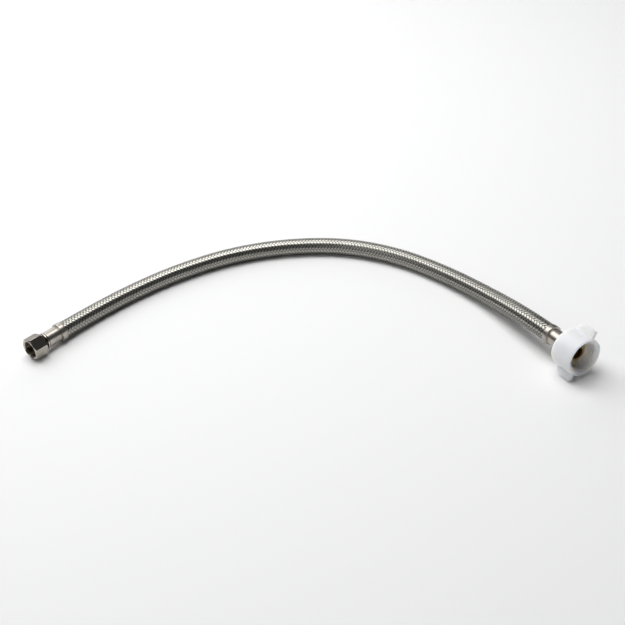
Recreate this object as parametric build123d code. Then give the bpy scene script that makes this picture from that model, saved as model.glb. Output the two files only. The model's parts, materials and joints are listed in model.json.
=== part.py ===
"""Braided steel supply line for a toilet: 3/8 in compression nut to 7/8 in ballcock nut, 20 in long.

The line lies on the plane Z = 0 in a wide arc that opens towards -Y. Both end fittings are turned
parts: each is drawn in its own frame, whose origin is the centre of its nut's mouth and whose Z
axis points out of the mouth, and is then placed on the end of the hose. Depths in a fitting are
measured inwards from the mouth, so a depth d lies at local Z = -d. All sizes are in millimetres.
"""

import math
import os

from build123d import *

# ---------------------------------------------------------------- hose
HOSE_R = 6.7  # outside of the steel braid
BRAID_T = 0.75
LINER_BORE_R = 4.2
CRIMPED_R = 5.65  # outside of the braid where the ferrule squeezes it
CRIMPED_LINER_BORE_R = 3.7
FERRULE_CONE = 1.6  # axial length over which the braid goes from crimped to full size

# ---------------------------------------------------------------- where the two ends lie
COMPRESSION_MOUTH = (-205.44, -9.67, 9.45)
COMPRESSION_HEADING = 238.6  # degrees from +X, in plan
COMPRESSION_TILT = 2.8  # degrees above the horizontal, nose up
COMPRESSION_HEX_TURN = 16.0  # degrees the hexagon is turned from lying on a flat

BALLCOCK_MOUTH = (202.29, -11.99, 16.85)
BALLCOCK_HEADING = -49.2
BALLCOCK_TILT = 0.0
BALLCOCK_WING_TURN = -125.2  # degrees about its axis, of one of the two wings

# ---------------------------------------------------------------- compression end, by depth
HEX_AF = 15.875  # 5/8 in across the flats
HEX_NUT_L = 11.3
HEX_FACE_R = 7.75  # circle left by the chamfer on each end face
HEX_THREAD_R = 6.57  # minor radius of 9/16-24
HEX_THREAD_MAJOR_R = 7.14
HEX_PITCH = 25.4 / 24
HEX_THREAD_START, HEX_THREAD_END = 0.8, 6.25
HEX_TURNS = 5
HEX_CHAMBER_R = 6.85
HEX_SHOULDER = 10.1  # depth of the inner shoulder that pulls on the washer
HEX_SHANK_R = 4.6
HEX_SHANK_GAP = 0.3

C_NOSE = 6.5
C_NOSE_R = 3.9  # the nose that the cone washer sits on
C_CONE_TIP_R = 4.9
C_CONE_END = 8.3
C_FLANGE_END = 9.1
C_FLANGE_R = 6.1
C_SLIP_START, C_SLIP_END = 9.25, 9.85
C_RING_START, C_RING_END = 13.5, 14.7
C_RING_R = 6.5
C_FERRULE_START, C_GROOVE, C_LIP_END = 15.2, 26.4, 31.5
C_BORE_R = 3.0

# ---------------------------------------------------------------- ballcock end, by depth
CAP_R = 14.0
CAP_L = 19.3
CAP_RIM = 1.2  # left of the wall at the mouth by the lead-in
CAP_BACK_ROUND = 2.2
CAP_FRONT_ROUND = 0.7
CAP_THREAD_R = 10.15  # minor radius of 7/8-14
CAP_THREAD_MAJOR_R = 11.15
CAP_PITCH = 25.4 / 14
CAP_THREAD_START, CAP_THREAD_END = 1.4, 7.1
CAP_TURNS = 3
CAP_CHAMBER_R = 10.6
CAP_SHOULDER = 14.1
CAP_NECK_GAP = 0.3

WING_TIP_R = 19.5
WING_T = 3.0
WING_START, WING_END = 2.0, 16.6
WING_CORNER = 6.0
WING_EDGE_ROUND = 0.9

B_NOSE = 7.4
B_NOSE_R = 5.6
B_CONE_START = 7.8
B_CONE_TIP_R = 6.8
B_CONE_END = 10.6
B_CONE_R = 9.7
B_FLANGE_END = 12.6
B_FLANGE_R = 9.4
B_SLIP_START, B_SLIP_END = 12.8, 13.8
B_SLIP_R = 9.8
B_SHANK_R = 5.5
B_FERRULE_START, B_GROOVE, B_LIP_END = 14.9, 31.6, 36.2
B_BORE_R = 4.5

# ---------------------------------------------------------------- ferrules, both ends
NECK_R = 6.15
LIP_R = 7.4
GROOVE_DEPTH = 0.35
FERRULE_WALL = 1.0  # thickness of the closed end that grips the insert
LIP_LEAD = 0.7  # axial distance from the groove to the full lip

# ---------------------------------------------------------------- barbed tails, both ends
BARBS = 4
BARB_DEPTH = 0.3
TAIL_GAP = 2.5  # from a tail's tip to the ferrule's lip
TAIL_WALL = 1.1

# ---------------------------------------------------------------- hose route
# Points that the centre line turns at, between the stretches that run along the fittings' axes.
HOSE_START_DEPTH, FIRST_TURN_DEPTH = 27.0, 51.0
HOSE_END_DEPTH, LAST_TURN_DEPTH = 32.1, 58.0
ARC_POINTS = [
    (-149.7, 70.4, 6.75),
    (-116.2, 101.8, 6.75),
    (-76.0, 126.8, 6.75),
    (-31.0, 139.9, 6.75),
    (16.1, 141.0, 6.75),
    (61.0, 126.5, 6.75),
    (100.3, 101.3, 6.75),
    (136.4, 68.5, 9.0),
]
ARC_SHARE = 0.45  # share of the shorter run that an arc may use


def heading(turn, tilt):
    """Unit vector for a compass turn from +X and a tilt above the horizontal, in degrees."""
    flat = math.cos(math.radians(tilt))
    return Vector(
        flat * math.cos(math.radians(turn)),
        flat * math.sin(math.radians(turn)),
        math.sin(math.radians(tilt)),
    )


def end_frame(mouth, turn, tilt):
    """A fitting's frame: origin at the mouth, Z out of it, X level."""
    out = heading(turn, tilt)
    return Plane(origin=mouth, x_dir=Vector(0, 0, 1).cross(out), z_dir=out)


COMPRESSION = end_frame(COMPRESSION_MOUTH, COMPRESSION_HEADING, COMPRESSION_TILT)
BALLCOCK = end_frame(BALLCOCK_MOUTH, BALLCOCK_HEADING, BALLCOCK_TILT)


def on_axis(frame, depth):
    """The point on a fitting's axis at a depth from its mouth."""
    return frame.origin - frame.z_dir * depth


def turned(*outline):
    """Solid of revolution about local Z from a closed (radius, depth) outline."""
    points = [(r, -d) for r, d in outline]
    face = make_face(Plane.XZ * Polyline(*points, close=True))
    return revolve(face, Axis.Z)


def tube(outer, inner, start, end):
    """A plain ring between two depths."""
    return turned((inner, start), (outer, start), (outer, end), (inner, end))


def thread_outline(minor, major, start, pitch, turns, end):
    """Wall points of an internal thread drawn as rings: a flat land, then a V groove, per turn."""
    points = []
    for turn in range(turns):
        top = start + turn * pitch
        points += [
            (minor, top),
            (minor, top + 0.55 * pitch),
            (major, top + 0.72 * pitch),
            (major, top + 0.83 * pitch),
        ]
    return points + [(minor, start + turns * pitch), (minor, end)]


# ---------------------------------------------------------------- the hose
def hose_path():
    """The centre line: straight runs joined by the largest arcs that the runs allow."""
    points = [
        on_axis(COMPRESSION, HOSE_START_DEPTH),
        on_axis(COMPRESSION, FIRST_TURN_DEPTH),
        *[Vector(*p) for p in ARC_POINTS],
        on_axis(BALLCOCK, LAST_TURN_DEPTH),
        on_axis(BALLCOCK, HOSE_END_DEPTH),
    ]
    runs = [(b - a).length for a, b in zip(points, points[1:])]
    radii = []
    for i in range(1, len(points) - 1):
        turn = (points[i] - points[i - 1]).get_angle(points[i + 1] - points[i])
        radii.append(ARC_SHARE * min(runs[i - 1], runs[i]) / math.tan(math.radians(turn / 2)))
    print("hose arc radii", [round(r) for r in radii])
    return FilletPolyline(*points, radius=radii)


def swept_ring(path, outer, inner):
    """A tube of round section along the hose's centre line."""
    section = Plane(origin=path @ 0, z_dir=path % 0)
    return sweep(section * (Circle(outer) - Circle(inner)), path=path)


def crimped_end(outer, inner, crimped, bore, depth, start):
    """The stretch of a hose layer inside a ferrule, squeezed from full size at depth to crimped."""
    cone = depth - FERRULE_CONE
    return turned(
        (bore, start), (crimped, start), (crimped, cone), (outer, depth), (inner, depth), (bore, cone)
    )


def hose_layer(path, outer, inner, crimped, bore):
    """One layer of the hose with both of its squeezed ends."""
    start = C_FERRULE_START + FERRULE_WALL
    end = B_FERRULE_START + FERRULE_WALL
    near = crimped_end(outer, inner, crimped, bore, HOSE_START_DEPTH, start)
    far = crimped_end(outer, inner, crimped, bore, HOSE_END_DEPTH, end)
    layer = swept_ring(path, outer, inner)
    length = path.length * math.pi * (outer**2 - inner**2)
    print("swept volume", round(layer.volume), "section times length", round(length))
    return layer + COMPRESSION.location * near + BALLCOCK.location * far


# ---------------------------------------------------------------- pieces of both ends
def ferrule(start, groove, lip_end, shank_r):
    """Crimped steel sleeve: closed end on the insert, long neck, groove and raised lip."""
    lip = groove + LIP_LEAD
    return turned(
        (shank_r, start),
        (NECK_R - 0.4, start),
        (NECK_R, start + 0.4),
        (NECK_R, groove - 0.9),
        (NECK_R - GROOVE_DEPTH, groove - 0.3),
        (NECK_R - GROOVE_DEPTH, groove),
        (LIP_R - 0.4, lip),
        (LIP_R, lip + 0.6),
        (LIP_R, lip_end - 0.9),
        (LIP_R - 0.4, lip_end),
        (HOSE_R, lip_end),
        (HOSE_R, groove + LIP_LEAD),
        (CRIMPED_R, groove + LIP_LEAD - FERRULE_CONE),
        (CRIMPED_R, start + FERRULE_WALL),
        (shank_r, start + FERRULE_WALL),
    )


def insert(nose, cone_end, flange_end, seal_r, flange_r, shank_r, grip, tail, bore):
    """Turned tailpiece: nose that carries the seal, flange, shank, and barbs inside the hose."""
    barb_r = CRIMPED_LINER_BORE_R
    tip_bore = barb_r - TAIL_WALL
    outline = [
        (bore, nose),
        (seal_r, nose),
        (seal_r, cone_end),
        (flange_r, cone_end),
        (flange_r, flange_end),
        (shank_r, flange_end),
        (shank_r, grip),
    ]
    step = (tail - grip) / BARBS
    for barb in range(BARBS):
        top = grip + barb * step
        outline += [
            (barb_r - BARB_DEPTH, top),
            (barb_r, top + 0.35 * step),
            (barb_r, top + 0.6 * step),
        ]
    outline += [(barb_r - 0.5, tail), (tip_bore, tail), (tip_bore, grip + 1.0), (bore, grip - 1.5)]
    return turned(*outline)


# ---------------------------------------------------------------- compression end
def compression_nut():
    """5/8 in hexagon nut with a 9/16-24 thread, open at the back around the shank."""
    hexagon = extrude(RegularPolygon(HEX_AF / 2, 6, major_radius=False), -HEX_NUT_L)
    hexagon = Rot(0, 0, COMPRESSION_HEX_TURN) * hexagon
    corner = HEX_AF / math.sqrt(3)
    drop = (corner - HEX_FACE_R) * math.tan(math.radians(30))
    chamfered = turned(
        (0, 0),
        (HEX_FACE_R, 0),
        (corner, drop),
        (corner, HEX_NUT_L - drop),
        (HEX_FACE_R, HEX_NUT_L),
        (0, HEX_NUT_L),
    )
    mouth = HEX_THREAD_MAJOR_R + 0.1
    hollow = turned(
        (0, -1),
        (mouth, -1),
        (mouth, 0),
        *thread_outline(
            HEX_THREAD_R, HEX_THREAD_MAJOR_R, HEX_THREAD_START, HEX_PITCH, HEX_TURNS, HEX_THREAD_END
        ),
        (HEX_CHAMBER_R, HEX_THREAD_END),
        (HEX_CHAMBER_R, HEX_SHOULDER),
        (HEX_SHANK_R + HEX_SHANK_GAP, HEX_SHOULDER),
        (HEX_SHANK_R + HEX_SHANK_GAP, HEX_NUT_L + 1),
        (0, HEX_NUT_L + 1),
    )
    return (hexagon & chamfered) - hollow


def compression_pieces():
    """The small pieces of the 3/8 in end, in its own frame."""
    return {
        "compression_nut": compression_nut(),
        "compression_insert": insert(
            C_NOSE, C_CONE_END, C_FLANGE_END, C_NOSE_R, C_FLANGE_R, HEX_SHANK_R,
            C_FERRULE_START + FERRULE_WALL, C_LIP_END - TAIL_GAP, C_BORE_R,
        ),
        "compression_cone_washer": turned(
            (C_NOSE_R, C_NOSE),
            (C_CONE_TIP_R, C_NOSE),
            (C_FLANGE_R, C_CONE_END),
            (C_NOSE_R, C_CONE_END),
        ),
        "compression_slip_washer": tube(
            C_FLANGE_R, HEX_SHANK_R + HEX_SHANK_GAP, C_SLIP_START, C_SLIP_END
        ),
        "compression_stop_ring": turned(
            (HEX_SHANK_R, C_RING_START),
            (C_RING_R - 0.3, C_RING_START),
            (C_RING_R, C_RING_START + 0.3),
            (C_RING_R, C_RING_END - 0.3),
            (C_RING_R - 0.3, C_RING_END),
            (HEX_SHANK_R, C_RING_END),
        ),
        "compression_ferrule": ferrule(C_FERRULE_START, C_GROOVE, C_LIP_END, HEX_SHANK_R),
    }


# ---------------------------------------------------------------- ballcock end
def wing():
    """One finger wing along +X: a flat plate whose back corner is rounded off."""
    root = CAP_R - 2.0
    outline = Polyline(
        (root, -WING_START),
        (WING_TIP_R, -WING_START),
        (WING_TIP_R, -WING_END),
        (root, -WING_END),
        close=True,
    )
    plate = extrude(make_face(Plane.XZ * outline), WING_T / 2, both=True)
    back = plate.edges().filter_by(Axis.Y).group_by(Axis.Z)[0].sort_by(Axis.X)[-1]
    plate = fillet(back, WING_CORNER)
    front = plate.edges().filter_by(Axis.Y).group_by(Axis.Z)[-1].sort_by(Axis.X)[-1]
    return fillet(front, WING_EDGE_ROUND)


def ballcock_nut():
    """White moulded nut with a 7/8-14 thread, two finger wings and a hole at the back."""
    body = Cylinder(CAP_R, CAP_L, align=(Align.CENTER, Align.CENTER, Align.MAX))
    body = fillet(body.edges().group_by(Axis.Z)[0], CAP_BACK_ROUND)
    body = fillet(body.edges().group_by(Axis.Z)[-1], CAP_FRONT_ROUND)
    for turn in (0, 180):
        body += Rot(0, 0, BALLCOCK_WING_TURN + turn) * wing()
    mouth = CAP_R - CAP_RIM
    hole = NECK_R + CAP_NECK_GAP
    hollow = turned(
        (0, -1),
        (mouth, -1),
        (mouth, 0),
        *thread_outline(
            CAP_THREAD_R, CAP_THREAD_MAJOR_R, CAP_THREAD_START, CAP_PITCH, CAP_TURNS, CAP_THREAD_END
        ),
        (CAP_CHAMBER_R, CAP_THREAD_END),
        (CAP_CHAMBER_R, CAP_SHOULDER),
        (hole, CAP_SHOULDER),
        (hole, CAP_L + 1),
        (0, CAP_L + 1),
    )
    return body - hollow


def ballcock_pieces():
    """The small pieces of the 7/8 in end, in its own frame."""
    return {
        "ballcock_nut": ballcock_nut(),
        "ballcock_insert": insert(
            B_NOSE, B_CONE_END, B_FLANGE_END, B_NOSE_R, B_FLANGE_R, B_SHANK_R,
            B_FERRULE_START + FERRULE_WALL, B_LIP_END - TAIL_GAP, B_BORE_R,
        ),
        "ballcock_cone_washer": turned(
            (B_NOSE_R, B_CONE_START),
            (B_CONE_TIP_R, B_CONE_START),
            (B_CONE_R, B_CONE_END),
            (B_NOSE_R, B_CONE_END),
        ),
        "ballcock_slip_washer": tube(B_SLIP_R, NECK_R + CAP_NECK_GAP, B_SLIP_START, B_SLIP_END),
        "ballcock_ferrule": ferrule(B_FERRULE_START, B_GROOVE, B_LIP_END, B_SHANK_R),
    }


# ---------------------------------------------------------------- assembly
def all_pieces():
    """Every piece in the line's own frame, by name."""
    pieces = {name: COMPRESSION.location * piece for name, piece in compression_pieces().items()}
    pieces.update({name: BALLCOCK.location * piece for name, piece in ballcock_pieces().items()})
    path = hose_path()
    liner_r = HOSE_R - BRAID_T
    crimped_liner = CRIMPED_R - BRAID_T
    pieces["steel_braid"] = hose_layer(path, HOSE_R, liner_r, CRIMPED_R, crimped_liner)
    pieces["inner_tube"] = hose_layer(
        path, liner_r, LINER_BORE_R, crimped_liner, CRIMPED_LINER_BORE_R
    )
    return pieces


os.makedirs("parts", exist_ok=True)
for name, piece in all_pieces().items():
    export_step(piece, f"parts/{name}.step")
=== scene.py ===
"""Looks of the braided supply line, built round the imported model.

The hose becomes a woven braid of wire strands over its tube, and both nuts get their real
helical threads. Lengths are in millimetres, which MM turns into metres. The camera, the lights,
ARC_POINTS and HOSE_LENGTH are in metres already.
"""

import json
import math

import bpy
import numpy as np
from mathutils import Matrix, Vector


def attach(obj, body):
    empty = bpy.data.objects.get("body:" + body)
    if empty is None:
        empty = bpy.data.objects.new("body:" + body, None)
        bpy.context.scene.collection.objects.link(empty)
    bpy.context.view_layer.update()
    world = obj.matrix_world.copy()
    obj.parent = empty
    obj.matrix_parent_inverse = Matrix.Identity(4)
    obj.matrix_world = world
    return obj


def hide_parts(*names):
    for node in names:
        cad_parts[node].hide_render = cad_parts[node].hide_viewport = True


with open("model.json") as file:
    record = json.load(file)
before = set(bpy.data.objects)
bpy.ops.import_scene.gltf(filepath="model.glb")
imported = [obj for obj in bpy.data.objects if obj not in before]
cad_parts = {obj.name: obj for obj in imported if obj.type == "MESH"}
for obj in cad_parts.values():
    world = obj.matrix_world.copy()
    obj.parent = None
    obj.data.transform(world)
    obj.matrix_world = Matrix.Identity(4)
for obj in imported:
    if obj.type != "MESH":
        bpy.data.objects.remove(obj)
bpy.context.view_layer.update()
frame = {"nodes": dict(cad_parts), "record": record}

MM = 0.001
ROOT = "hose"
COMPRESSION_SWIVEL = "compression_swivel"
BALLCOCK_SWIVEL = "ballcock_swivel"

# ---------------------------------------------------------------- camera
CAMERA_TARGET = (0.0025, 0.04795, 0.0067)
CAMERA_AZIMUTH = 13.54  # degrees; 0 looks along +Y
CAMERA_ELEVATION = 36.0
CAMERA_ROLL = 7.0
CAMERA_DISTANCE = 0.8438
CAMERA_LENS = 63.73

# ---------------------------------------------------------------- light
# Azimuth, elevation, distance, width, height and brightness of each soft box.
SOFT_BOXES = {
    "top_box": (110, 82, 1.5, 1.1, 1.0, 4.8),
    "left_back_box": (150, 46, 1.6, 1.1, 0.9, 2.8),
    "back_box": (118, 20, 1.9, 2.7, 1.1, 1.3),
    "front_left_box": (-135, 38, 1.8, 1.2, 0.9, 0.9),
}
SURROUND = (0.95, 0.97, 1.0)
SURROUND_STRENGTH = 0.05
FLOOR_GREY = 0.93

# ---------------------------------------------------------------- hose
HOSE_R = 6.7
CORE_R = 6.12
CORE_BORE_R = 4.2
CRIMPED_CORE_R = 4.9
CRIMPED_CORE_BORE_R = 3.7
CRIMP_CONE = 1.6
CRIMPED_LENGTH = (10.8, 16.2)  # of tube inside the two ferrules, before its full size
TUBE_RINGS, TUBE_COLUMNS = 300, 48
CARRIERS = 12  # strands that run each way
CELL = 2.75  # along the hose, from one crossing to the next of the same kind
WIRES = 8  # side by side in a strand
STRAND_LIFT = 0.17  # how far a strand rises and dips as it goes over and under
WIRE_CREST = 0.06  # height of a wire above the flanks that it shares with its neighbours
STRAND_CROWN = 0.1  # how much lower a strand's edges lie than its middle
STRAND_BASE = 0.16  # thickness of a strand's middle below its wires' flanks
STRAND_COVER = 0.9  # share of the braid's surface that one way's strands cover
RINGS_PER_CELL = 6
# The weave height also sets the braid's painted shade, dark where a strand dips.
WEAVE_HEIGHT = "weave_height"  # each strand's own height in the weave, from 0 to 1
STRANDS_PER_PIECE = 4

# The route's turning points, and the depths of its ends on the axes of the two fittings.
HOSE_START_DEPTH, FIRST_TURN_DEPTH = 27.0, 51.0
HOSE_END_DEPTH, LAST_TURN_DEPTH = 32.1, 58.0
ARC_POINTS = [
    (-0.1497, 0.0704, 0.00675),
    (-0.1162, 0.1018, 0.00675),
    (-0.0760, 0.1268, 0.00675),
    (-0.0310, 0.1399, 0.00675),
    (0.0161, 0.1410, 0.00675),
    (0.0610, 0.1265, 0.00675),
    (0.1003, 0.1013, 0.00675),
    (0.1364, 0.0685, 0.009),
]

# ---------------------------------------------------------------- fittings
# Places along a fitting are depths from its mouth. Turns are in degrees round its axis.
MOUNT_DEPTH = {"compression_thread": 3.525, "ballcock_thread": 4.25}
HEX_TURN = 16.0
WING_TURN = -125.2

HEX_AF = 15.875
HEX_NUT_L = 11.3
HEX_FACE_R = 7.75  # of the flat end face, inside the chamfer
HEX_CORNER = 0.4
HEX_MINOR_R, HEX_MAJOR_R, HEX_PITCH = 6.57, 7.14, 25.4 / 24
HEX_THREAD = (0.0, 6.25)
HEX_CHAMBER_R, HEX_SHOULDER, HEX_HOLE_R = 6.85, 10.1, 4.9

CAP_R, CAP_L, CAP_RIM = 14.0, 19.3, 1.2
CAP_MINOR_R, CAP_MAJOR_R, CAP_PITCH = 10.15, 11.15, 25.4 / 14
CAP_THREAD = (0.0, 7.1)
CAP_CHAMBER_R, CAP_SHOULDER, CAP_HOLE_R = 10.6, 14.1, 6.45
CAP_BACK_ROUND, CAP_FRONT_ROUND = 2.2, 0.7
WING_TIP_R, WING_T, WING_START, WING_END = 19.5, 3.0, 2.0, 16.6
WING_CORNER, WING_FRONT_CORNER = 6.0, 0.9
WING_TIP_BLEND, WING_ROOT_BLEND = 0.7, 0.9

NECK_R, LIP_R, GROOVE_DEPTH, LIP_LEAD = 6.15, 7.4, 0.35, 0.7
C_FERRULE = (15.2, 26.4, 31.5)  # start, groove, lip's end
B_FERRULE = (14.9, 31.6, 36.2)
C_SHANK_R, B_SHANK_R = 4.6, 5.5
STOP_RING_R, STOP_RING = 6.5, (13.5, 14.7)  # start and end

BORE_GAP = 0.01  # left between a shank and the ring on it
FINE_COLUMNS = 192  # round a turned piece


# ================================================================ geometry helpers
def unit(v):
    v = np.asarray(v, float)
    return v / np.linalg.norm(v)


def end_frame(mount_name):
    """(origin, x, y, z) of a fitting: origin at its mouth in millimetres, z out of it, x level."""
    mount = next(m for m in frame["record"]["mounts"] if m["name"] == mount_name)
    z = unit(mount["axis"])
    x = unit(np.cross((0, 0, 1), z))
    origin = np.array(mount["pos_m"]) / MM + z * MOUNT_DEPTH[mount_name]
    return origin, x, np.cross(z, x), z


COMPRESSION = end_frame("compression_thread")
BALLCOCK = end_frame("ballcock_thread")


def on_axis(end, depth):
    return end[0] - end[3] * depth


def add_mesh(name, points, faces, body, material, sharp=40):
    """A smooth-shaded mesh piece from points in millimetres, riding on a body."""
    mesh = bpy.data.meshes.new(name)
    faces = np.asarray(faces, np.int32)
    mesh.vertices.add(len(points))
    mesh.vertices.foreach_set("co", (np.asarray(points, float) * MM).ravel())
    mesh.loops.add(faces.size)
    mesh.loops.foreach_set("vertex_index", faces.ravel())
    mesh.polygons.add(len(faces))
    mesh.polygons.foreach_set("loop_start", np.arange(len(faces), dtype=np.int32) * faces.shape[1])
    mesh.update(calc_edges=True)
    mesh.validate()
    mesh.shade_smooth()
    mesh.set_sharp_from_angle(angle=math.radians(sharp))
    mesh.materials.append(material)
    piece = bpy.data.objects.new(name, mesh)
    bpy.context.collection.objects.link(piece)
    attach(piece, body)
    return piece


def grid_faces(rows, columns):
    """Quads of a grid that closes on itself both ways."""
    j, i = np.meshgrid(np.arange(rows), np.arange(columns), indexing="ij")
    j2, i2 = (j + 1) % rows, (i + 1) % columns
    return np.stack(
        [j * columns + i, j * columns + i2, j2 * columns + i2, j2 * columns + i], -1
    ).reshape(-1, 4)


def ring_piece(name, end, angles, radii, depths, body, material, sharp=40):
    """A closed ring from rows of (radius, depth) at each angle round a fitting's axis.

    The rows run from the mouth back along the outside, and forward again along the inside.
    """
    origin, x, y, z = end
    out = np.cos(angles)[:, None] * x + np.sin(angles)[:, None] * y
    points = origin + radii[..., None] * out - depths[..., None] * z
    rows, columns = radii.shape
    faces = grid_faces(rows, columns)
    return add_mesh(name, points.reshape(-1, 3), faces, body, material, sharp)


def rounded(outline, steps=4):
    """The (radius, depth) points of a closed outline, whose corners may carry a third number: a round."""
    points = []
    count = len(outline)
    for k, corner in enumerate(outline):
        at = np.array(corner[:2], float)
        if len(corner) < 3:
            points.append(at)
            continue
        back = unit(np.array(outline[k - 1][:2]) - at)
        on = unit(np.array(outline[(k + 1) % count][:2]) - at)
        half = math.acos(max(-1.0, min(1.0, float(back @ on)))) / 2
        reach = corner[2] / math.tan(half)
        centre = at + unit(back + on) * corner[2] / math.sin(half)
        start, end = at + back * reach - centre, at + on * reach - centre
        turn = math.atan2(start[0] * end[1] - start[1] * end[0], float(start @ end))
        for step in range(steps + 1):
            a = turn * step / steps
            spin = np.array([[math.cos(a), -math.sin(a)], [math.sin(a), math.cos(a)]])
            points.append(centre + spin @ start)
    return np.array(points)


def supported(points, reach=0.08):
    """A closed outline with a point added near each end of its long sides, which keeps them flat."""
    kept = []
    for start, end in zip(points, np.roll(points, -1, axis=0)):
        kept.append(start)
        if np.linalg.norm(end - start) > 5 * reach:
            kept.append(start + unit(end - start) * reach)
            kept.append(end - unit(end - start) * reach)
    return np.array(kept)


def turned_piece(name, end, outline, body, material, sharp=40):
    """A turned ring from its closed outline, given from the mouth back along the outside."""
    points = supported(rounded(outline))
    angles = np.linspace(0, 2 * math.pi, FINE_COLUMNS, endpoint=False)
    radii = np.repeat(points[:, :1], FINE_COLUMNS, 1)
    depths = np.repeat(points[:, 1:], FINE_COLUMNS, 1)
    return ring_piece(name, end, angles, radii, depths, body, material, sharp)


def smooth_max(a, b, blend):
    """The larger of two fields, with a fillet of about `blend` where they meet."""
    h = np.clip(0.5 + 0.5 * (a - b) / blend, 0, 1)
    return b + (a - b) * h + blend * h * (1 - h)


def smooth_min(a, b, blend):
    return -smooth_max(-a, -b, blend)


def thread_rows(angles, minor, major, pitch, span, mouth_r, rows_per_turn=20):
    """Radii and depths of a right-handed internal thread, from its inner end out to the mouth."""
    start, end = span
    count = int((end - start) / pitch * rows_per_turn)
    depths = np.linspace(end, start, count)[:, None] + 0 * angles
    phase = (depths / pitch + angles / (2 * math.pi)) % 1
    # The crest and the root are flat, and the two flanks between them are eased into both.
    groove = np.clip(2.6 * (1 - np.abs(2 * phase - 1)) - 0.9, 0, 1)
    groove = groove * groove * (3 - 2 * groove)
    # The groove runs out in the last part of a turn at its inner end.
    fade = np.clip((end - depths) / (0.6 * pitch), 0, 1)
    radii = minor + (major - minor) * groove * fade
    countersink = mouth_r - (depths - start) * 1.15
    return smooth_max(radii, countersink, 0.12), depths


# ================================================================ materials
def principled(name):
    """A new material, with its nodes, links and shader."""
    material = bpy.data.materials.new(name)
    material.use_nodes = True
    nodes = material.node_tree.nodes
    return material, nodes, material.node_tree.links, nodes["Principled BSDF"]


def place_texture(nodes, links, kind, scale, **settings):
    """A procedural texture in the part's own coordinates, with `scale` features per metre."""
    where = nodes.new("ShaderNodeTexCoord")
    texture = nodes.new(kind)
    texture.inputs["Scale"].default_value = scale
    for socket, value in settings.items():
        texture.inputs[socket.replace("_", " ")].default_value = value
    links.new(where.outputs["Object"], texture.inputs["Vector"])
    return texture


def ramp(nodes, links, source, low, high, start=0.3, stop=0.7):
    """Turns a texture's value into a colour, or a grey where low and high are numbers."""
    node = nodes.new("ShaderNodeValToRGB")
    node.color_ramp.elements[0].position = start
    node.color_ramp.elements[1].position = stop
    for element, value in zip(node.color_ramp.elements, (low, high)):
        element.color = (value, value, value, 1) if np.isscalar(value) else (*value, 1)
    links.new(source, node.inputs["Fac"])
    return node.outputs["Color"]


def add_bump(nodes, links, shader, height, strength, distance):
    """Fine relief from a texture's value; `distance` is its depth in metres."""
    bump = nodes.new("ShaderNodeBump")
    bump.inputs["Strength"].default_value = strength
    bump.inputs["Distance"].default_value = distance
    links.new(height, bump.inputs["Height"])
    links.new(bump.outputs["Normal"], shader.inputs["Normal"])


def metal(name, dark, light, roughness, mottle=350.0, grain=4000.0, relief=0.15):
    """A plated or turned metal: slow mottling of its colour and polish over a fine grain."""
    material, nodes, links, shader = principled(name)
    shader.inputs["Metallic"].default_value = 1.0
    patches = place_texture(nodes, links, "ShaderNodeTexNoise", mottle, Detail=4.0)
    fine = place_texture(nodes, links, "ShaderNodeTexNoise", grain, Detail=3.0)
    links.new(ramp(nodes, links, patches.outputs["Fac"], dark, light), shader.inputs["Base Color"])
    low, high = roughness
    polish = ramp(nodes, links, patches.outputs["Fac"], high, low, 0.25, 0.75)
    links.new(polish, shader.inputs["Roughness"])
    add_bump(nodes, links, shader, fine.outputs["Fac"], relief, 0.00002)
    return material


def braid_metal():
    """Drawn steel wire, with painted shade: its colour goes almost to black where it dips in the weave, and
    keeps its own grey only on the crowns.
    """
    material, nodes, links, shader = principled("braid_wire")
    shader.inputs["Metallic"].default_value = 1.0
    height = nodes.new("ShaderNodeAttribute")
    height.attribute_name = WEAVE_HEIGHT
    patches = place_texture(nodes, links, "ShaderNodeTexNoise", 40.0, Detail=4.0)
    # Painted shade: near black at the dips, the wire's own colour on the crowns, set by the strand's height
    # in the weave.
    painted_dip_shade, crest = (0.004, 0.004, 0.0025), (0.42, 0.41, 0.375)
    height_painted_shade = ramp(nodes, links, height.outputs["Fac"], painted_dip_shade, crest, 0.58, 0.97)
    tone = ramp(nodes, links, patches.outputs["Fac"], 0.88, 1.0)
    mix = nodes.new("ShaderNodeMix")
    mix.data_type = "RGBA"
    mix.blend_type = "MULTIPLY"
    mix.inputs["Factor"].default_value = 1.0
    links.new(height_painted_shade, mix.inputs["A"])
    links.new(tone, mix.inputs["B"])
    links.new(mix.outputs["Result"], shader.inputs["Base Color"])
    roughness = ramp(nodes, links, patches.outputs["Fac"], 0.32, 0.28, 0.25, 0.75)
    links.new(roughness, shader.inputs["Roughness"])
    return material


def moulded(name, dark, light, roughness, grain=1500.0, relief=0.1, milky=0.0):
    """A moulded plastic or rubber: faint cloudiness, a fine surface texture, and some glow inside it."""
    material, nodes, links, shader = principled(name)
    shader.inputs["Subsurface Weight"].default_value = milky
    shader.inputs["Subsurface Radius"].default_value = (1.0, 0.9, 0.74)
    shader.inputs["Subsurface Scale"].default_value = 0.009
    clouds = place_texture(nodes, links, "ShaderNodeTexNoise", 120.0, Detail=3.0)
    fine = place_texture(nodes, links, "ShaderNodeTexNoise", grain, Detail=4.0)
    links.new(ramp(nodes, links, clouds.outputs["Fac"], dark, light), shader.inputs["Base Color"])
    low, high = roughness
    links.new(ramp(nodes, links, fine.outputs["Fac"], low, high), shader.inputs["Roughness"])
    add_bump(nodes, links, shader, fine.outputs["Fac"], relief, 0.00003)
    return material


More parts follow.
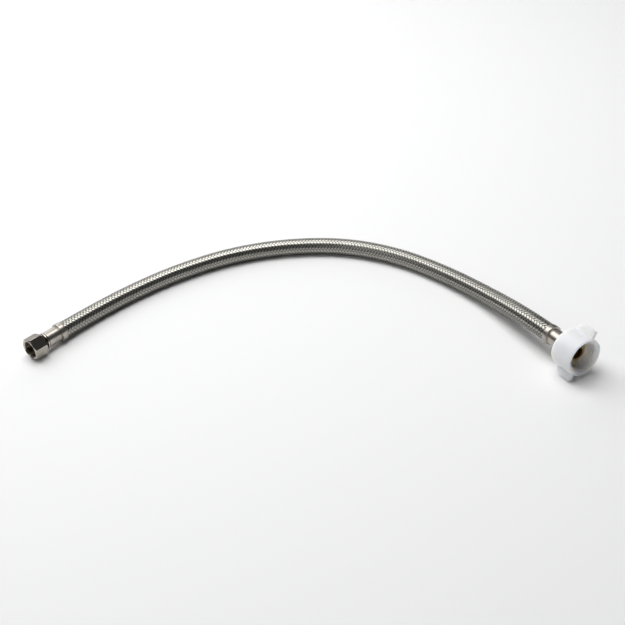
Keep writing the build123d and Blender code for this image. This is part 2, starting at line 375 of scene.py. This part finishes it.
WIRE = braid_metal()
NICKEL = metal(
    "nickel_plate", (0.43, 0.395, 0.345), (0.5, 0.465, 0.415), (0.12, 0.16),
    mottle=260.0, grain=5000.0, relief=0.1,
)
SLEEVE = metal(
    "ferrule_steel", (0.4, 0.37, 0.33), (0.48, 0.45, 0.41), (0.28, 0.34),
    mottle=300.0, grain=6000.0, relief=0.2,
)
RING_STEEL = metal(
    "ring_steel", (0.5, 0.48, 0.45), (0.6, 0.58, 0.55), (0.15, 0.25),
    mottle=300.0, grain=6000.0, relief=0.1,
)
BRASS = metal(
    "turned_brass", (0.24, 0.16, 0.065), (0.34, 0.24, 0.11), (0.3, 0.42),
    mottle=300.0, grain=5000.0, relief=0.25,
)
# Painted shade: a near-black copy of the brass, for the compression insert where it shows in shade between
# the parts.
SHADED_BRASS = metal("brass_painted_shade", (0.05, 0.036, 0.02), (0.09, 0.066, 0.038), (0.42, 0.55))
PLASTIC = moulded("white_acetal", (0.94, 0.935, 0.94), (0.97, 0.965, 0.97), (0.36, 0.46), milky=1.0)
SEAL = moulded("seal_rubber", (0.34, 0.27, 0.16), (0.42, 0.34, 0.21), (0.5, 0.65), grain=2500.0, relief=0.2)
TUBE = moulded(
    "tube_polymer", (0.018, 0.017, 0.014), (0.03, 0.028, 0.024), (0.45, 0.6),
    grain=3000.0, relief=0.2,
)
WASHER = moulded("slip_washer", (0.66, 0.65, 0.6), (0.74, 0.73, 0.68), (0.4, 0.5))


# ================================================================ hose
def hose_line():
    """Points along the hose's centre, in millimetres, read from its route's spline."""
    route = [
        on_axis(COMPRESSION, HOSE_START_DEPTH) * MM,
        on_axis(COMPRESSION, FIRST_TURN_DEPTH) * MM,
        *ARC_POINTS,
        on_axis(BALLCOCK, LAST_TURN_DEPTH) * MM,
        on_axis(BALLCOCK, HOSE_END_DEPTH) * MM,
    ]
    curve = bpy.data.curves.new("hose_route", "CURVE")
    curve.dimensions = "3D"
    curve.resolution_u = 32
    spline = curve.splines.new("NURBS")
    spline.points.add(len(route) - 1)
    for point, place in zip(spline.points, route):
        point.co = (*place, 1)
    spline.order_u = 3
    spline.use_endpoint_u = True
    holder = bpy.data.objects.new("hose_route", curve)
    mesh = bpy.data.meshes.new_from_object(holder)
    line = np.array([v.co for v in mesh.vertices]) / MM
    bpy.data.objects.remove(holder)
    bpy.data.curves.remove(curve)
    bpy.data.meshes.remove(mesh)
    return line


class Hose:
    """The hose's own coordinates: distance along its centre line, angle round it, and radius."""

    def __init__(self, line):
        self.line = line
        steps = np.linalg.norm(np.diff(line, axis=0), axis=1)
        self.along = np.concatenate([[0], np.cumsum(steps)])
        self.length = self.along[-1]
        self.forward = np.gradient(line, self.along, axis=0)
        self.forward /= np.linalg.norm(self.forward, axis=1)[:, None]
        side = [unit(np.cross((0, 0, 1), self.forward[0]))]
        for tangent in self.forward[1:]:
            side.append(unit(side[-1] - tangent * (side[-1] @ tangent)))
        self.side = np.array(side)
        self.other = np.cross(self.forward, self.side)

    def read(self, values, s):
        return np.stack([np.interp(s, self.along, values[:, k]) for k in range(3)], -1)

    def place(self, s, angle, radius):
        """Points in space. Beyond either end the hose goes on straight."""
        s, angle, radius = np.broadcast_arrays(s, angle, radius)
        past = s - np.clip(s, 0, self.length)
        centre = self.read(self.line, s) + past[..., None] * self.read(self.forward, s)
        side, other = self.read(self.side, s), self.read(self.other, s)
        swing = np.cos(angle)[..., None] * side + np.sin(angle)[..., None] * other
        return centre + radius[..., None] * swing


HOSE = Hose(hose_line())


def inner_tube():
    """The polymer tube, with its squeezed ends inside the ferrules, and the points that it follows."""
    near, far = -CRIMPED_LENGTH[0], HOSE.length + CRIMPED_LENGTH[1]
    middle = np.linspace(0, HOSE.length, TUBE_RINGS)
    s = np.concatenate([[near, -CRIMP_CONE], middle, [HOSE.length + CRIMP_CONE, far]])
    path = HOSE.place(s, 0.0, 0.0) * MM
    full = (s >= -1e-6) & (s <= HOSE.length + 1e-6)
    outer = np.where(full, CORE_R, CRIMPED_CORE_R)
    inner = np.where(full, CORE_BORE_R, CRIMPED_CORE_BORE_R)
    angles = np.linspace(0, 2 * math.pi, TUBE_COLUMNS, endpoint=False)
    s = np.concatenate([s, s[::-1]])[:, None]
    radii = np.concatenate([outer, inner[::-1]])[:, None]
    points = HOSE.place(s, angles[None, :], radii)
    faces = grid_faces(len(s), len(angles))
    core = add_mesh("inner_tube_core", points.reshape(-1, 3), faces, ROOT, TUBE)
    return core, path


LAY = CARRIERS * CELL  # length of hose in which a strand goes once round
BRAID_R = 6.42  # middle of the two layers of strands
BRAID_ANGLE = math.atan2(2 * math.pi * BRAID_R, LAY)


def strand_section():
    """(across, up) points of a strand: a row of round wires side by side, with a flat underside."""
    width = STRAND_COVER * 2 * math.pi * BRAID_R / CARRIERS * math.cos(BRAID_ANGLE)
    across = np.linspace(-width / 2, width / 2, 2 * WIRES + 1)
    up = np.where(np.arange(2 * WIRES + 1) % 2, WIRE_CREST, 0.0)
    up = up - STRAND_CROWN * (2 * across / width) ** 2
    across = np.concatenate([across[:1], across, across[-1:]])
    up = np.concatenate([[-STRAND_BASE], up, [-STRAND_BASE]])
    return across, up - (WIRE_CREST - STRAND_BASE) / 2


def strand_cap():
    """Triangles that fill a strand's section: one for each wire, and a fan under them."""
    last = 2 * WIRES + 1
    faces = [(0, last, last + 1)]
    for flank in range(1, last, 2):
        faces.append((0, flank, flank + 2))
        faces.append((flank, flank + 1, flank + 2))
    return np.array(faces)


def strand_points(hand, index):
    """Rings of points along one strand, which goes over two and under two of the other way's.

    Each point's height in the weave comes with them, from 0 to 1.
    """
    across, up = strand_section()
    step = CELL / RINGS_PER_CELL
    middle = np.arange(2 * step, HOSE.length - 2 * step, step)[:, None]
    s = middle - hand * math.sin(BRAID_ANGLE) * across
    turn = hand * 2 * math.pi * middle / LAY + 2 * math.pi * index / CARRIERS
    angle = turn + math.cos(BRAID_ANGLE) * across / BRAID_R
    # The number of the strand that it crosses here, plus its own. The weave repeats every four.
    crossed = (angle + hand * 2 * math.pi * s / LAY) * CARRIERS / (2 * math.pi) + index
    lift = hand * STRAND_LIFT * np.cos(math.pi / 2 * (crossed - 0.5))
    height = (lift + up) / (2 * STRAND_LIFT) + 0.5
    return HOSE.place(s, angle, BRAID_R + lift + up), height


def braid_piece(name, hand, indices):
    """Several strands of one hand as one piece, each closed at both ends."""
    points, faces, heights = [], [], []
    start = 0
    cap = strand_cap()
    for index in indices:
        rings, height = strand_points(hand, index)
        count, around = rings.shape[:2]
        quads = grid_faces(count, around)[: (count - 1) * around]
        triangles = np.concatenate(
            [quads[:, [0, 1, 2]], quads[:, [0, 2, 3]], cap[:, ::-1], cap + (count - 1) * around]
        )
        if hand > 0:
            triangles = triangles[:, ::-1]
        points.append(rings.reshape(-1, 3))
        faces.append(triangles + start)
        heights.append(height.ravel())
        start += count * around
    piece = add_mesh(name, np.concatenate(points), np.concatenate(faces), ROOT, WIRE, 75)
    attribute = piece.data.attributes.new(WEAVE_HEIGHT, "FLOAT", "POINT")
    attribute.data.foreach_set("value", np.clip(np.concatenate(heights), 0, 1))
    return piece


def make_hose():
    """The tube and the braid on it, between the two fittings."""
    core, path = inner_tube()
    for hand, lay in ((1, "right"), (-1, "left")):
        for first in range(0, CARRIERS, STRANDS_PER_PIECE):
            indices = range(first, first + STRANDS_PER_PIECE)
            name = f"braid_{lay}_{first // STRANDS_PER_PIECE + 1}"
            braid_piece(name, hand, indices)
    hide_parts("inner_tube")
    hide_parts("steel_braid")


# ================================================================ pieces
def ferrule(name, end, spans, shank_r):
    """A crimped sleeve: a neck with a groove, then a raised lip that holds the hose."""
    start, groove, lip_end = spans
    lip = groove + LIP_LEAD
    outline = [
        (NECK_R, start, 0.4),
        (NECK_R, groove - 0.9, 0.5),
        (NECK_R - GROOVE_DEPTH, groove - 0.3, 0.2),
        (NECK_R - GROOVE_DEPTH, groove, 0.15),
        (LIP_R - 0.05, lip - 0.2, 0.6),
        (LIP_R, lip_end, 0.9),
        (HOSE_R + 0.02, lip_end, 0.25),
        (HOSE_R + 0.02, lip),
        (NECK_R - 0.65, lip - 0.1),
        (NECK_R - 0.65, start + 1.0),
        (shank_r + BORE_GAP, start + 1.0),
        (shank_r + BORE_GAP, start, 0.15),
    ]
    piece = turned_piece(name + "_sleeve", end, outline, ROOT, SLEEVE)
    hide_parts(name)


def stop_ring():
    """The bright ring that stops the compression nut's slide."""
    start, end = STOP_RING
    outline = [
        (STOP_RING_R, start, 0.45),
        (STOP_RING_R, end, 0.45),
        (C_SHANK_R + BORE_GAP, end),
        (C_SHANK_R + BORE_GAP, start),
    ]
    piece = turned_piece("stop_ring_bright", COMPRESSION, outline, ROOT, RING_STEEL)
    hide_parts("compression_stop_ring")


def hexagon_radius(angles):
    """Distance from the axis to a hexagon with slightly rounded corners."""
    flat = HEX_AF / 2
    off = np.abs((np.degrees(angles) - HEX_TURN) % 60 - 30)
    sixth = math.radians(30)
    from_corner = sixth - np.radians(off)
    centre = (flat - HEX_CORNER) / math.cos(sixth)
    tangent = sixth - math.atan((flat - HEX_CORNER) * math.tan(sixth) / flat)
    inside = np.maximum(HEX_CORNER**2 - (centre * np.sin(from_corner)) ** 2, 0)
    arc = centre * np.cos(from_corner) + np.sqrt(inside)
    return np.where(from_corner < tangent, arc, flat / np.cos(np.radians(off)))


def hex_nut():
    """The plated compression nut: chamfered hexagon outside, 9/16-24 thread inside."""
    # Columns of a sixth of the nut, close together near its two corners.
    sector = np.concatenate([np.linspace(-30, -24, 9), np.linspace(-23, 23, 24), np.linspace(24, 30, 9)[:-1]])
    angles = np.radians(np.concatenate([HEX_TURN + 30 + 60 * k + sector for k in range(6)]))
    outer = hexagon_radius(angles)
    slope = math.tan(math.radians(30))
    drop = (outer - HEX_FACE_R) * slope
    flat = 0 * angles
    # From the end face across the chamfer to the side, with both of its edges slightly rounded.
    front = [
        (flat + HEX_FACE_R - 0.12, flat),
        (flat + HEX_FACE_R + 0.08, flat + 0.05),
        (outer - 0.2, drop - 0.2 * slope),
        (outer - 0.05, drop + 0.02),
        (outer, drop + 0.12),
        (outer, drop + 0.2),
    ]
    back = [(r, HEX_NUT_L - d) for r, d in reversed(front)]
    hole = [
        (flat + HEX_HOLE_R + 0.25, flat + HEX_NUT_L),
        (flat + HEX_HOLE_R, flat + HEX_NUT_L - 0.25),
        (flat + HEX_HOLE_R, flat + HEX_SHOULDER),
        (flat + HEX_CHAMBER_R, flat + HEX_SHOULDER),
        (flat + HEX_CHAMBER_R, flat + HEX_THREAD[1] + 0.25),
    ]
    thread_r, thread_d = thread_rows(
        angles, HEX_MINOR_R, HEX_MAJOR_R, HEX_PITCH, HEX_THREAD, HEX_MAJOR_R + 0.15
    )
    radii = np.array([r for r, _ in front + back + hole])
    depths = np.array([d for _, d in front + back + hole])
    radii, depths = np.concatenate([radii, thread_r]), np.concatenate([depths, thread_d])
    piece = ring_piece(
        "hex_nut_threaded", COMPRESSION, angles, radii, depths, COMPRESSION_SWIVEL, NICKEL
    )
    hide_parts("compression_nut")


def wing_radius(angles, depths):
    """Distance from the axis to the outside of the two finger wings."""
    off = (angles - math.radians(WING_TURN) + math.pi / 2) % math.pi - math.pi / 2
    front = np.clip((WING_START + WING_FRONT_CORNER - depths) / WING_FRONT_CORNER, 0, 1)
    back = np.clip((depths - (WING_END - WING_CORNER)) / WING_CORNER, 0, 1)
    tip = WING_TIP_R - WING_FRONT_CORNER * (1 - np.sqrt(1 - front**2))
    tip = tip - WING_CORNER * (1 - np.sqrt(1 - back**2))
    tip = np.where((depths < WING_START - 0.02) | (depths > WING_END + 0.02), 0.8 * CAP_R, tip)
    side = 0.5 * WING_T / np.maximum(np.abs(np.sin(off)), 1e-3)
    return smooth_min(tip / np.cos(off), side, WING_TIP_BLEND)


def winged_nut():
    """The moulded ballcock nut: round body, two wings, 7/8-14 thread inside."""
    # Columns in degrees from a wing: close together across it, and wider apart between the wings.
    near_wing = np.linspace(-9, 9, 73)
    plain = np.linspace(9, 171, 82)[1:-1]
    angles = np.radians(WING_TURN + np.concatenate([near_wing, plain, near_wing + 180, plain + 180]))
    flat = 0 * angles
    quarter = np.linspace(0, math.pi / 2, 9)[:, None] + flat
    front_r = CAP_R - CAP_FRONT_ROUND * (1 - np.sin(quarter))
    front_d = CAP_FRONT_ROUND * (1 - np.cos(quarter))
    wing_front = WING_START + WING_FRONT_CORNER * (1 - np.cos(quarter))
    straight = np.linspace(WING_START + WING_FRONT_CORNER, WING_END - WING_CORNER, 14)[1:, None] + flat
    turn = np.linspace(0, math.pi / 2, 25)[1:, None] + flat
    wing_back = WING_END - WING_CORNER + WING_CORNER * np.sin(turn)
    collar = np.array([1.0, WING_START - 0.1, WING_START - 0.04])[:, None] + flat
    tail = CAP_L - CAP_BACK_ROUND * (1 - np.sin(quarter[1:]))
    gap = np.array([WING_END + 0.04, WING_END + 0.12])[:, None] + flat
    depths = np.concatenate([front_d, collar, wing_front, straight, wing_back, gap, tail])
    back = np.clip((depths - (CAP_L - CAP_BACK_ROUND)) / CAP_BACK_ROUND, 0, 1)
    body = CAP_R - CAP_BACK_ROUND * (1 - np.sqrt(1 - back**2))
    radii = smooth_max(body, wing_radius(angles, depths), WING_ROOT_BLEND)
    radii[: len(front_d)] = front_r
    hole = [
        (CAP_HOLE_R + 0.4, CAP_L),
        (CAP_HOLE_R, CAP_L - 0.4),
        (CAP_HOLE_R, CAP_SHOULDER),
        (CAP_CHAMBER_R, CAP_SHOULDER),
        (CAP_CHAMBER_R, CAP_THREAD[1] + 0.4),
    ]
    hole_r = np.array([r for r, _ in hole])[:, None] + flat
    hole_d = np.array([d for _, d in hole])[:, None] + flat
    thread_r, thread_d = thread_rows(angles, CAP_MINOR_R, CAP_MAJOR_R, CAP_PITCH, CAP_THREAD, CAP_R - CAP_RIM)
    radii = np.concatenate([radii, hole_r, thread_r])
    depths = np.concatenate([depths, hole_d, thread_d])
    piece = ring_piece(
        "winged_nut_threaded", BALLCOCK, angles, radii, depths, BALLCOCK_SWIVEL, PLASTIC
    )
    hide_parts("ballcock_nut")


def paint(node, material):
    """Gives a CAD node a better material."""
    for slot in frame["nodes"][node].material_slots:
        slot.material = material


# ================================================================ stage, light, camera
def make_floor():
    """A plain pale floor under the part."""
    bpy.ops.mesh.primitive_plane_add(size=6.0, location=(0, 0, 0))
    floor = bpy.context.object
    floor.name = "floor"
    material, nodes, links, shader = principled("floor_paper")
    shader.inputs["Base Color"].default_value = (FLOOR_GREY, FLOOR_GREY, FLOOR_GREY, 1)
    shader.inputs["Roughness"].default_value = 0.9
    shader.inputs["Specular IOR Level"].default_value = 0.1
    floor.data.materials.append(material)


def soft_box(name, azimuth, elevation, distance, width, height, brightness):
    """A soft box that faces the part, seen from it at an azimuth from +X and an elevation, in degrees."""
    a, e = math.radians(azimuth), math.radians(elevation)
    at = Vector((math.cos(a) * math.cos(e), math.sin(a) * math.cos(e), math.sin(e))) * distance
    lamp = bpy.data.lights.new(name, "AREA")
    lamp.shape = "RECTANGLE"
    lamp.size, lamp.size_y = width, height
    lamp.energy = brightness * math.pi * width * height
    holder = bpy.data.objects.new(name, lamp)
    holder.location = at + Vector((0, 0.06, 0))
    holder.rotation_euler = (-at).to_track_quat("-Z", "Y").to_euler()
    bpy.context.collection.objects.link(holder)


def make_lights():
    """The soft boxes, in a dim white surround."""
    world = bpy.data.worlds.new("studio")
    bpy.context.scene.world = world
    world.use_nodes = True
    world.node_tree.nodes["Background"].inputs["Color"].default_value = (*SURROUND, 1)
    world.node_tree.nodes["Background"].inputs["Strength"].default_value = SURROUND_STRENGTH
    for name, settings in SOFT_BOXES.items():
        soft_box(name, *settings)


def make_camera():
    """The camera, which looks down at the middle of the part, a little rolled."""
    a, e = math.radians(CAMERA_AZIMUTH), math.radians(CAMERA_ELEVATION)
    forward = Vector((-math.sin(a) * math.cos(e), math.cos(a) * math.cos(e), -math.sin(e)))
    camera = bpy.data.objects.new("camera", bpy.data.cameras.new("camera"))
    camera.data.lens = CAMERA_LENS
    camera.data.sensor_width = 36.0
    look = forward.to_track_quat("-Z", "Y").to_matrix().to_4x4()
    camera.matrix_world = (
        Matrix.Translation(Vector(CAMERA_TARGET) - forward * CAMERA_DISTANCE)
        @ look
        @ Matrix.Rotation(math.radians(-CAMERA_ROLL), 4, "Z")
    )
    bpy.context.collection.objects.link(camera)
    bpy.context.scene.camera = camera


make_camera()
make_hose()
ferrule("compression_ferrule", COMPRESSION, C_FERRULE, C_SHANK_R)
ferrule("ballcock_ferrule", BALLCOCK, B_FERRULE, B_SHANK_R)
stop_ring()
hex_nut()
winged_nut()
# Painted shade: the compression insert gets the near-black copy of the brass.
paint("compression_insert", SHADED_BRASS)
paint("ballcock_insert", BRASS)
paint("compression_cone_washer", SEAL)
paint("ballcock_cone_washer", SEAL)
paint("compression_slip_washer", WASHER)
paint("ballcock_slip_washer", WASHER)
make_floor()
make_lights()
bpy.context.scene.view_settings.view_transform = "Standard"
